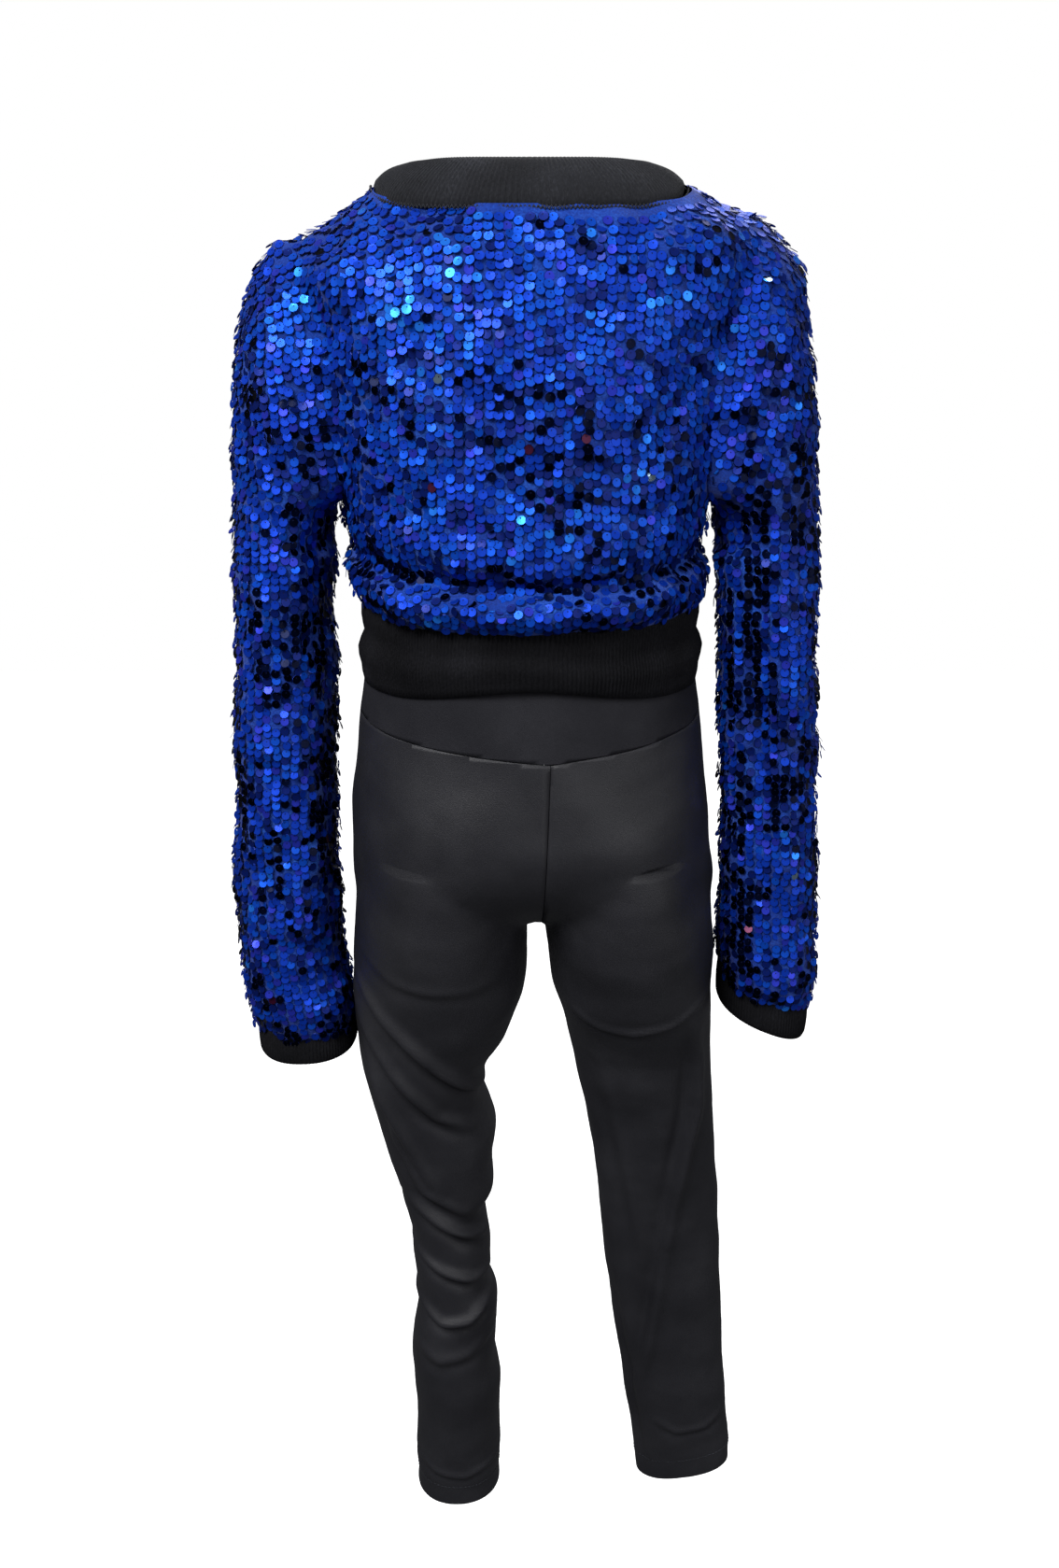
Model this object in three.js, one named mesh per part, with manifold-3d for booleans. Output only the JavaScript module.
// A child's two-piece cheer uniform: a long-sleeved sequinned crop top with black rib bands,
// over black high-waisted leggings, both in the shape they have when worn.
// Millimetres. +X is the wearer's right, +Y the wearer's front, +Z up.
// The origin is inside the leggings' waist, where the wearer's waist holds the uniform up.
import * as THREE from "three";
import { mergeVertices } from "three/addons/utils/BufferGeometryUtils.js";
import Module from "manifold-3d";

const wasm = await Module();
wasm.setup();

// ---- cloth and seams ----
const SEAM_GAP = 0.3; // between two pieces that are sewn edge to edge, or that lie on each other
const SEQUIN_CLOTH = 2.6; // knit ground with its sequins
const RIB_CLOTH = 2.0;
const LEGGING_CLOTH = 1.2;
const WAISTBAND_CLOTH = 1.0;
const LINING_CLOTH = 0.9;
const ELASTIC_THICKNESS = 1.0;
const ELASTIC_WIDTH = 32;

// ---- heights ----
const BACK_NECK_Z = 241; // top of the neckband at the centre back
const NECKBAND_HEIGHT = 21.5;
const FRONT_NECK_DROP = 18; // how far the front neckline lies below the back one
const SHOULDER_Z = 196; // outer end of the shoulder
const ARMPIT_Z = 62;
const BAND_TOP_Z = -8;
const BAND_HEIGHT = 42;
const WAISTBAND_TOP_Z = 5;
const YOKE_HEIGHT = 75; // waistband height at the side seams
const YOKE_POINT_DROP = 10; // the V point hangs this much lower
const CROTCH_Z = -222;
const KNEE_Z = -455;
const LEFT_HEM_Z = -715;
const RIGHT_HEM_Z = -700;
const LEFT_SLEEVE_END_Z = -290;
const RIGHT_SLEEVE_END_Z = -268;
const CUFF_HEIGHT = 24;

// ---- girths: distances from the body's middle line to the cloth's outer face ----
const NECK = { left: 62, right: 62, back: 47, front: 41 };
const NECK_BASE = { left: 87, right: 82, back: 58, front: 48 };
const CHEST = { left: 119, right: 112, back: 84, front: 82 };
const WAIST = { left: 100, right: 100.5, back: 74, front: 70 };
const HIP = { left: 114.5, right: 120.5, back: 92, front: 80 };
const HIP_TAPER = { left: 2.5, right: 8 }; // how much narrower the body is halfway from yoke to crotch
const BLOUSE = { left: 8, right: 3, back: 9, front: 8 }; // how far the body bulges out over the rib band
const CENTRE_SEAM_X = 7;
const ARM_CLEARANCE = 3; // between a hanging sleeve and the hip beside it
const SLEEVE_WIDTH = 64;
const SLEEVE_END_FLARE = 10; // how much wider the sleeve is where it falls over the cuff
const CUFF_WIDTH = 59;
const SLEEVE_DEPTH = 38; // middle of the arm to the cloth's back or front
const LEFT_ANKLE_WIDTH = 65;
const RIGHT_ANKLE_WIDTH = 71;

const SIDES = 24; // facets round each tube
const ROUNDNESS = 2.25; // 2 is an ellipse, higher is squarer
const PAST = 40; // how far a cutter runs past what it cuts

const mix = (from, to, share) => from + (to - from) * share;

// One cross-section: x from x0 to x1, y from -back to front, tilted across x by slope.
function section(z, x0, x1, back, front, slope = 0) {
  return { z, x0, x1, back, front, slope };
}

function girthSection(z, girth, more = 0) {
  return section(z, -girth.left - more, girth.right + more, girth.back + more, girth.front + more);
}

function bulged(girth, bulge) {
  return Object.fromEntries(Object.keys(girth).map((way) => [way, girth[way] + bulge[way]]));
}

function inset(sections, wall, drop = 0) {
  return sections.map((s) => ({
    ...s,
    z: s.z - drop,
    x0: s.x0 + wall,
    x1: s.x1 - wall,
    back: s.back - wall,
    front: s.front - wall,
  }));
}

// The same sections with both ends pushed out, so that a cutter leaves both ends open.
function runPast(sections) {
  const first = sections[0];
  const last = sections[sections.length - 1];
  const way = Math.sign(last.z - first.z);
  return [
    { ...first, z: first.z - way * PAST },
    ...sections,
    { ...last, z: last.z + way * PAST },
  ];
}

function ringPoint(s, step) {
  const angle = ((step + 0.5) * 2 * Math.PI) / SIDES;
  const squared = (value) => Math.sign(value) * Math.abs(value) ** (2 / ROUNDNESS);
  const across = squared(Math.cos(angle)) * (s.x1 - s.x0) / 2;
  const deep = squared(Math.sin(angle));
  return [
    (s.x0 + s.x1) / 2 + across,
    deep * (deep < 0 ? s.back : s.front),
    s.z + s.slope * across,
  ];
}

// A closed skin through the sections, which run from the top down.
function loftGeometry(sections) {
  const points = sections.flatMap((s) => Array.from({ length: SIDES }, (_, i) => ringPoint(s, i)));
  const faces = [];
  for (let row = 0; row + 1 < sections.length; row += 1) {
    for (let i = 0; i < SIDES; i += 1) {
      const a = row * SIDES + i;
      const b = row * SIDES + (i + 1) % SIDES;
      faces.push(a, a + SIDES, b, b, a + SIDES, b + SIDES);
    }
  }
  const low = (sections.length - 1) * SIDES;
  const top = sections[0];
  const bottom = sections[sections.length - 1];
  points.push([(top.x0 + top.x1) / 2, 0, top.z], [(bottom.x0 + bottom.x1) / 2, 0, bottom.z]);
  const topMiddle = points.length - 2;
  for (let i = 0; i < SIDES; i += 1) {
    const next = (i + 1) % SIDES;
    faces.push(topMiddle, i, next, topMiddle + 1, low + next, low + i);
  }
  const geometry = new THREE.BufferGeometry();
  geometry.setAttribute("position", new THREE.Float32BufferAttribute(points.flat(), 3));
  geometry.setIndex(faces);
  return geometry;
}

function solidOf(geometry) {
  const bare = geometry.clone();
  bare.deleteAttribute("normal");
  bare.deleteAttribute("uv");
  const merged = mergeVertices(bare, 1e-4);
  return new wasm.Manifold(new wasm.Mesh({
    numProp: 3,
    vertProperties: new Float32Array(merged.attributes.position.array),
    triVerts: new Uint32Array(merged.index.array),
  }));
}

const loft = (sections) => solidOf(loftGeometry(sections));

function tube(sections, wall) {
  return loft(sections).subtract(loft(runPast(inset(sections, wall))));
}

function box(low, high) {
  const size = high.map((value, i) => value - low[i]);
  const geometry = new THREE.BoxGeometry(...size);
  geometry.translate(...low.map((value, i) => value + size[i] / 2));
  return solidOf(geometry);
}

// Everything under (or, with up set, over) a seam line drawn in the plane of one axis and height,
// and carried straight through the garment along the other axis.
const FAR = 1200;
function seamSide(line, { along, up }) {
  const end = up ? FAR : -FAR;
  const shape = new THREE.Shape([...line, [line[line.length - 1][0], end], [line[0][0], end]]
    .map(([u, z]) => new THREE.Vector2(u, z)));
  const geometry = new THREE.ExtrudeGeometry(shape, { depth: 2 * FAR, bevelEnabled: false, steps: 1 });
  geometry.translate(0, 0, -FAR);
  geometry.rotateX(Math.PI / 2);
  if (along === "x") geometry.rotateZ(Math.PI / 2);
  return solidOf(geometry);
}

const raised = (line, by) => line.map(([u, z]) => [u, z + by]);

// ---- the crop top's outer shape ----
const NECK_SEAM_Z = BACK_NECK_Z - NECKBAND_HEIGHT;
const HALF_GAP = SEAM_GAP / 2;
const BAND_OUT = RIB_CLOTH + SEAM_GAP; // the band's outer face, measured from the leggings
const ROLL = bulged(WAIST, BLOUSE);
const armpitEdge = (way) => ROLL[way] + BAND_OUT + ARM_CLEARANCE;
const armholeX = (way) => armpitEdge(way) - ARM_CLEARANCE / 2;

function torsoSections() {
  const chestZ = mix(ARMPIT_Z, SHOULDER_Z, 0.4);
  return [
    girthSection(BACK_NECK_Z + 20, NECK, -3),
    girthSection(BACK_NECK_Z + 1, NECK),
    girthSection(mix(NECK_SEAM_Z, BACK_NECK_Z, 0.72), NECK, 6),
    girthSection(mix(NECK_SEAM_Z, BACK_NECK_Z, 0.2), NECK_BASE),
    section(mix(SHOULDER_Z, NECK_SEAM_Z, 0.75), -102, 97, 62, 53),
    section(mix(SHOULDER_Z, NECK_SEAM_Z, 0.35), -121, 116, 67, 59),
    section(SHOULDER_Z, -134, 128, 71, 64),
    section(mix(ARMPIT_Z, SHOULDER_Z, 0.82), -128, 121, 79, 75),
    girthSection(chestZ, CHEST),
    girthSection(ARMPIT_Z, ROLL, BAND_OUT - 1),
    girthSection(mix(BAND_TOP_Z, ARMPIT_Z, 0.42), ROLL, BAND_OUT - 0.5),
    girthSection(BAND_TOP_Z + 12, ROLL, BAND_OUT),
    girthSection(BAND_TOP_Z + 4, ROLL, BAND_OUT - 1),
    girthSection(BAND_TOP_Z, WAIST, BAND_OUT + 1),
  ];
}

// The rib cuff's outer face at a distance below the sleeve's end. The right cuff hangs tilted.
function cuffSection(side, down) {
  const left = side < 0;
  const inner = (left ? HIP.left : HIP.right) + ARM_CLEARANCE + 1;
  const slope = left ? 0 : -0.42;
  const x0 = left ? -inner - CUFF_WIDTH : inner + down * slope * 0.5 + 4;
  return section((left ? LEFT_SLEEVE_END_Z : RIGHT_SLEEVE_END_Z) - down, x0, x0 + CUFF_WIDTH,
    CUFF_WIDTH / 2 + 1, CUFF_WIDTH / 2, slope);
}

// Both sleeves: each section is given by its inner edge, its outer edge and its depth.
const INSIDE_TORSO = 80; // the sleeve's head starts inside the torso, where the armhole is open
function sleeveSections(side) {
  const left = side < 0;
  const end = cuffSection(side, 0);
  const hipEdge = (left ? HIP.left : HIP.right) + ARM_CLEARANCE;
  const underarm = armpitEdge(left ? "left" : "right");
  const clearOfHip = hipEdge + 1 - HIP_TAPER[left ? "left" : "right"];
  const besideHip = Math.max(mix(underarm, hipEdge, 0.75), clearOfHip);
  const upperArm = mix(underarm, hipEdge, 0.35);
  const out = left ? 0 : -4;
  const flared = hipEdge + SLEEVE_WIDTH + SLEEVE_END_FLARE;
  const cut = (z, inner, outer, depth, slope = 0) => (left
    ? section(z, -outer, -inner, depth, depth - 2, slope)
    : section(z, inner, outer, depth, depth - 2, slope));
  return [
    cut(SHOULDER_Z + 2, INSIDE_TORSO, 143 + out, 20),
    cut(SHOULDER_Z - 3, INSIDE_TORSO, 150 + out, 30),
    cut(mix(ARMPIT_Z, SHOULDER_Z, 0.85), INSIDE_TORSO, 158 + out, 39),
    cut(mix(ARMPIT_Z, SHOULDER_Z, 0.6), INSIDE_TORSO, 167 + out, 45),
    cut(mix(ARMPIT_Z, SHOULDER_Z, 0.3), INSIDE_TORSO, 172 + out, 45),
    cut(ARMPIT_Z + 8, INSIDE_TORSO + 8, 174 + out, 42),
    cut(ARMPIT_Z - 4, underarm, underarm + SLEEVE_WIDTH - 4, SLEEVE_DEPTH + 1),
    cut(mix(ARMPIT_Z, end.z, 0.3), upperArm, underarm + SLEEVE_WIDTH + 3, SLEEVE_DEPTH),
    cut(mix(ARMPIT_Z, end.z, 0.6), besideHip, hipEdge + SLEEVE_WIDTH + 1, SLEEVE_DEPTH),
    cut(mix(ARMPIT_Z, end.z, 0.86), hipEdge, flared, SLEEVE_DEPTH + 1, end.slope * 0.5),
    cut(end.z + CUFF_HEIGHT / 3, hipEdge, flared, SLEEVE_DEPTH, end.slope * 0.8),
    end,
  ];
}

const PIECES = {};

function makeTop() {
  const torso = torsoSections();
  const sleeves = [sleeveSections(-1), sleeveSections(1)];
  const outer = sleeves.map(loft).reduce((all, one) => all.add(one), loft(torso));
  const room = sleeves
    .map((s) => loft([...inset(s, SEQUIN_CLOTH, SEQUIN_CLOTH * 0.8), { ...inset(s, SEQUIN_CLOTH).at(-1),
      z: s.at(-1).z - PAST }]))
    .reduce((all, one) => all.add(one), loft(runPast(inset(torso, SEQUIN_CLOTH))));
  const skin = outer.subtract(room);

  const neckSeam = [[-FAR, NECK_SEAM_Z], [-NECK_BASE.back, NECK_SEAM_Z], [0, NECK_SEAM_Z + 4],
    [NECK_BASE.front * 0.5, NECK_SEAM_Z], [NECK_BASE.front * 0.8, NECK_SEAM_Z - FRONT_NECK_DROP * 0.5],
    [NECK_BASE.front + 6, NECK_SEAM_Z - FRONT_NECK_DROP], [FAR, NECK_SEAM_Z - FRONT_NECK_DROP - 20]];
  const neckEdge = [[-FAR, BACK_NECK_Z], [-NECK.back, BACK_NECK_Z], [-NECK.back / 2, BACK_NECK_Z - 3],
    [0, BACK_NECK_Z - 6], [NECK.front, BACK_NECK_Z - FRONT_NECK_DROP], [FAR, BACK_NECK_Z - 60]];
  PIECES.neckband = skin
    .intersect(seamSide(raised(neckSeam, HALF_GAP), { along: "x", up: true }))
    .intersect(seamSide(neckEdge, { along: "x", up: false }));

  const body = skin
    .intersect(seamSide(raised(neckSeam, -HALF_GAP), { along: "x", up: false }))
    .intersect(box([HALF_GAP - armholeX("left"), -FAR, -FAR], [armholeX("right") - HALF_GAP, FAR, FAR]));
  PIECES.back_panel = body.intersect(box([-FAR, -FAR, -FAR], [FAR, -HALF_GAP, FAR]));
  PIECES.front_panel = body.intersect(box([-FAR, HALF_GAP, -FAR], [FAR, FAR, FAR]));
  PIECES.left_sleeve = skin.intersect(box([-FAR, -FAR, -FAR], [-armholeX("left") - HALF_GAP, FAR, FAR]));
  PIECES.right_sleeve = skin.intersect(box([armholeX("right") + HALF_GAP, -FAR, -FAR], [FAR, FAR, FAR]));
}

function makeCuff(side) {
  const sections = [SEAM_GAP, CUFF_HEIGHT].map((down) => cuffSection(side, down));
  PIECES[side < 0 ? "left_cuff" : "right_cuff"] = tube(sections, RIB_CLOTH);
}

function makeHemBand() {
  const low = BAND_TOP_Z - BAND_HEIGHT;
  PIECES.hem_band = tube([
    girthSection(BAND_TOP_Z - SEAM_GAP, WAIST, BAND_OUT),
    girthSection(low, WAIST, BAND_OUT),
  ], RIB_CLOTH);
}

// ---- the leggings' outer shape ----
const YOKE_Z = WAISTBAND_TOP_Z - YOKE_HEIGHT; // the waistband's lower seam at the sides
function seatSections() {
  return [
    girthSection(WAISTBAND_TOP_Z, WAIST, -1.5),
    girthSection(BAND_TOP_Z, WAIST),
    girthSection(BAND_TOP_Z - BAND_HEIGHT, WAIST),
    girthSection(YOKE_Z, WAIST, 4),
    section(mix(YOKE_Z, CROTCH_Z, 0.42), HIP_TAPER.left - HIP.left, HIP.right - HIP_TAPER.right,
      HIP.back - 2, HIP.front),
    section(mix(YOKE_Z, CROTCH_Z, 0.78), -HIP.left, HIP.right - 2, HIP.back - 5, HIP.front - 3),
    section(CROTCH_Z, -HIP.left + 5, HIP.right - 5, 72, 64),
  ];
}

function leftLegSections() {
  return [
    section(mix(YOKE_Z, CROTCH_Z, 0.55), -HIP.left + 12, -5, HIP.back - 14, HIP.front - 12),
    section(mix(YOKE_Z, CROTCH_Z, 0.85), -HIP.left + 1.5, -3, HIP.back - 10, HIP.front - 8),
    section(CROTCH_Z, -HIP.left, -2, 78, 70),
    section(mix(CROTCH_Z, KNEE_Z, 0.18), -HIP.left, -4, 66, 63),
    section(mix(CROTCH_Z, KNEE_Z, 0.36), -HIP.left + 1.5, -18, 56, 58),
    section(mix(CROTCH_Z, KNEE_Z, 0.52), -107, -31, 48, 53),
    section(mix(CROTCH_Z, KNEE_Z, 0.76), -98, -27, 41, 47),
    section(KNEE_Z, -88, -29, 35, 42),
    section(mix(KNEE_Z, LEFT_HEM_Z, 0.32), -84, -24, 38, 33),
    section(mix(KNEE_Z, LEFT_HEM_Z, 0.6), -87, -23, 37, 28),
    section(LEFT_HEM_Z, -23 - LEFT_ANKLE_WIDTH, -23, 32, 27),
  ];
}

function rightLegSections() {
  return [
    section(mix(YOKE_Z, CROTCH_Z, 0.55), 11, HIP.right - 16, HIP.back - 14, HIP.front - 12),
    section(mix(YOKE_Z, CROTCH_Z, 0.85), 9, HIP.right - 2.5, HIP.back - 10, HIP.front - 8),
    section(CROTCH_Z, 9, HIP.right, 77, 69),
    section(mix(CROTCH_Z, KNEE_Z, 0.18), 15, HIP.right, 64, 60),
    section(mix(CROTCH_Z, KNEE_Z, 0.36), 26, HIP.right + 1, 42, 46),
    section(mix(CROTCH_Z, KNEE_Z, 0.58), 37, 127, 29, 34),
    section(KNEE_Z, 52, 135, 24, 25),
    section(mix(KNEE_Z, RIGHT_HEM_Z, 0.4), 67, 143, 22, 21),
    section(RIGHT_HEM_Z, 157 - RIGHT_ANKLE_WIDTH, 157, 20, 19, 0.15),
  ];
}

function makeLeggings() {
  const parts = [seatSections(), leftLegSections(), rightLegSections()];
  const shellOf = (wall) => {
    const [seat, leftLeg, rightLeg] = parts.map((s) => inset(s, wall));
    const lift = (s) => [...s.slice(0, -1), { ...s.at(-1), z: s.at(-1).z + wall }];
    return loft([{ ...seat[0], z: seat[0].z + PAST }, ...lift(seat)])
      .add(loft([...leftLeg, { ...leftLeg.at(-1), z: LEFT_HEM_Z - PAST }]))
      .add(loft([...rightLeg, { ...rightLeg.at(-1), z: RIGHT_HEM_Z - PAST }]));
  };
  const outer = parts.map(loft).reduce((all, one) => all.add(one));
  const skin = outer.subtract(shellOf(LEGGING_CLOTH));

  const yokeSeam = [[-FAR, YOKE_Z], [-WAIST.left, YOKE_Z], [CENTRE_SEAM_X, YOKE_Z - YOKE_POINT_DROP],
    [WAIST.right, YOKE_Z], [FAR, YOKE_Z]];
  const frontSeam = [[-FAR, YOKE_Z], [FAR, YOKE_Z]];
  const backHalf = box([-FAR, -FAR, -FAR], [FAR, -HALF_GAP, FAR]);
  const frontHalf = box([-FAR, HALF_GAP, -FAR], [FAR, FAR, FAR]);

  const thickBand = outer.subtract(shellOf(WAISTBAND_CLOTH));
  const over = (line) => seamSide(raised(line, HALF_GAP), { along: "y", up: true });
  PIECES.waistband_back = thickBand.intersect(backHalf).intersect(over(yokeSeam));
  PIECES.waistband_front = thickBand.intersect(frontHalf).intersect(over(frontSeam));

  const liningOut = WAISTBAND_CLOTH + ELASTIC_THICKNESS + 2 * SEAM_GAP;
  const lining = shellOf(liningOut).subtract(shellOf(liningOut + LINING_CLOTH))
    .intersect(box([-FAR, -FAR, -FAR], [FAR, FAR, WAISTBAND_TOP_Z]));
  PIECES.waistband_back_lining = lining.intersect(backHalf).intersect(over(yokeSeam));
  PIECES.waistband_front_lining = lining.intersect(frontHalf).intersect(over(frontSeam));
  PIECES.waist_elastic = shellOf(WAISTBAND_CLOTH + SEAM_GAP)
    .subtract(shellOf(liningOut - SEAM_GAP))
    .intersect(box([-FAR, -FAR, WAISTBAND_TOP_Z - 2 - ELASTIC_WIDTH], [FAR, FAR, WAISTBAND_TOP_Z - 2]));

  const under = seamSide(raised(yokeSeam, -HALF_GAP), { along: "y", up: false })
    .intersect(box([-FAR, -FAR, -FAR], [FAR, 0, FAR]))
    .add(seamSide(raised(frontSeam, -HALF_GAP), { along: "y", up: false })
      .intersect(box([-FAR, 0, -FAR], [FAR, FAR, FAR])));
  const legs = skin.intersect(under);
  PIECES.left_leg = legs.intersect(box([-FAR, -FAR, -FAR], [CENTRE_SEAM_X - HALF_GAP, FAR, FAR]));
  PIECES.right_leg = legs.intersect(box([CENTRE_SEAM_X + HALF_GAP, -FAR, -FAR], [FAR, FAR, FAR]));
}

makeTop();
makeCuff(-1);
makeCuff(1);
makeHemBand();
makeLeggings();

// ---- the scene graph ----
const SEQUINS = { color: 0x1f4fbf, roughness: 0.35, metalness: 0.6 };
const BLACK_RIB = { color: 0x17181c, roughness: 0.9, metalness: 0 };
const BLACK_KNIT = { color: 0x1d1e22, roughness: 0.75, metalness: 0 };
const ELASTIC = { color: 0x0f0f10, roughness: 0.8, metalness: 0 };
const FINISH = {
  back_panel: SEQUINS,
  front_panel: SEQUINS,
  left_sleeve: SEQUINS,
  right_sleeve: SEQUINS,
  neckband: BLACK_RIB,
  left_cuff: BLACK_RIB,
  right_cuff: BLACK_RIB,
  hem_band: BLACK_RIB,
  waistband_back: BLACK_KNIT,
  waistband_front: BLACK_KNIT,
  waistband_back_lining: BLACK_KNIT,
  waistband_front_lining: BLACK_KNIT,
  waist_elastic: ELASTIC,
  left_leg: BLACK_KNIT,
  right_leg: BLACK_KNIT,
};

function meshOf(name) {
  const made = PIECES[name].getMesh();
  const geometry = new THREE.BufferGeometry();
  geometry.setAttribute("position", new THREE.BufferAttribute(made.vertProperties, 3));
  geometry.setIndex(new THREE.BufferAttribute(made.triVerts, 1));
  geometry.computeVertexNormals();
  const mesh = new THREE.Mesh(geometry, new THREE.MeshStandardMaterial(FINISH[name]));
  mesh.name = name;
  return mesh;
}

const uniform = new THREE.Group();
Object.keys(FINISH).forEach((name) => uniform.add(meshOf(name)));

export default uniform;
